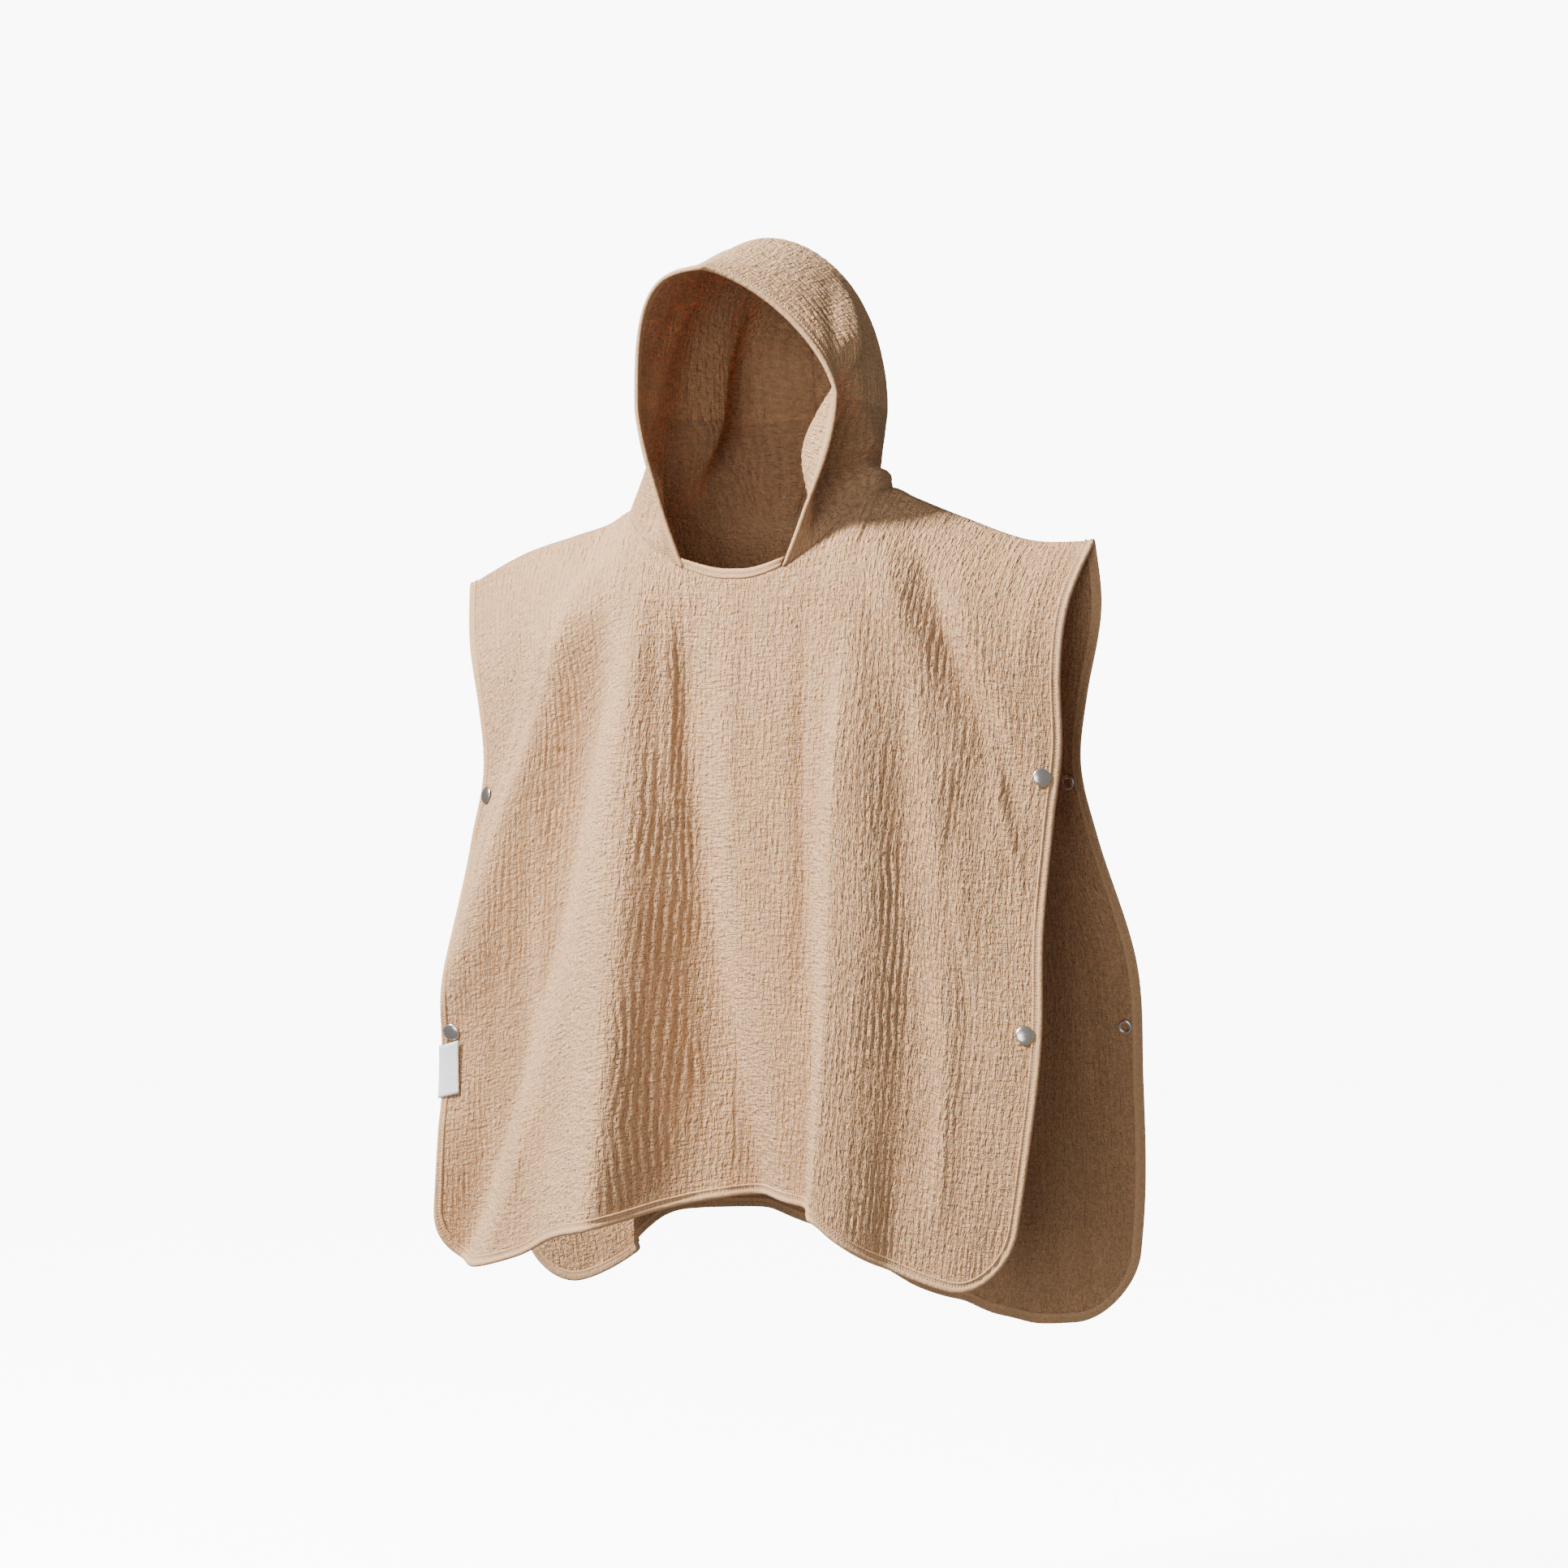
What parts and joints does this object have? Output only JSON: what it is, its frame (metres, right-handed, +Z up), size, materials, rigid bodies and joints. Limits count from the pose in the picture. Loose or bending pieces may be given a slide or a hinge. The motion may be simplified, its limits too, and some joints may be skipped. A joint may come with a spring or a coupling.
{
  "type": "hooded bath poncho",
  "caption": "Child's hooded bath poncho in crinkled cotton double gauze, worn shape with no wearer, open sides that close with metal snaps and a pointed two-piece hood.",
  "frame": {"origin": "middle of the neck, level with the shoulder seams, where the wearer's shoulders hold the poncho up", "axes": "+Z up, the front faces -Y, +X is the wearer's left"},
  "size_m": [0.5963, 0.3321, 0.9409],
  "materials": {
    "gauze": "crinkled, matt",
    "binding": "smooth, matt",
    "woven_label": "satin weave",
    "metal": "polished"
  },
  "bodies": {
    "root": {"back_binding": "binding", "back_panel": "gauze", "front_binding": "binding", "front_panel": "gauze", "hood_binding": "binding", "hood_left": "gauze", "hood_right": "gauze", "label": "woven_label", "neckline_binding": "binding", "snap_cap_left_lower": "metal", "snap_cap_left_upper": "metal", "snap_cap_right_lower": "metal", "snap_cap_right_upper": "metal", "snap_ring_left_lower": "metal", "snap_ring_left_upper": "metal", "snap_ring_right_lower": "metal", "snap_ring_right_upper": "metal", "snap_socket_left_lower": "metal", "snap_socket_left_upper": "metal", "snap_socket_right_lower": "metal", "snap_socket_right_upper": "metal", "snap_stud_left_lower": "metal", "snap_stud_left_upper": "metal", "snap_stud_right_lower": "metal", "snap_stud_right_upper": "metal"}
  },
  "joints": []
}
